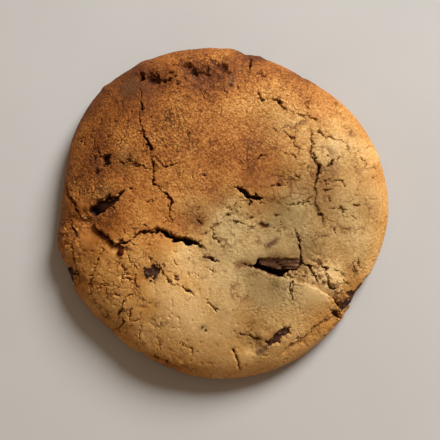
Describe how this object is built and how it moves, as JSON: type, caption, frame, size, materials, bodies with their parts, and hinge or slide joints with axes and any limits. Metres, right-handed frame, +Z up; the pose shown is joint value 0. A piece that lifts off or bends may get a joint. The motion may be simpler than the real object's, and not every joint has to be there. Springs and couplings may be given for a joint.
{
  "type": "chocolate chip cookie",
  "caption": "Round baked cookie with a cracked, unevenly browned crust and dark chocolate chunks set in the top and rim.",
  "frame": {"origin": "middle of the flat base, where the cookie rests", "axes": "+Z up out of the top crust, +Y towards the browner side of the crust, +X towards the paler side"},
  "size_m": [0.0904, 0.0921, 0.0164],
  "materials": {
    "baked_dough": "matte baked crust, golden to brown, with a fine crumb",
    "dark_chocolate": "satin dark chocolate"
  },
  "bodies": {
    "root": {"cookie_dough": "baked_dough", "chunk_centre": "dark_chocolate", "chunk_left": "dark_chocolate", "chunk_slot": "dark_chocolate", "chunk_fissure": "dark_chocolate", "chunk_south_west": "dark_chocolate", "chunk_south_east": "dark_chocolate", "chunk_rim_east": "dark_chocolate", "chunk_rim_west": "dark_chocolate", "chunk_north_west": "dark_chocolate"}
  },
  "joints": []
}
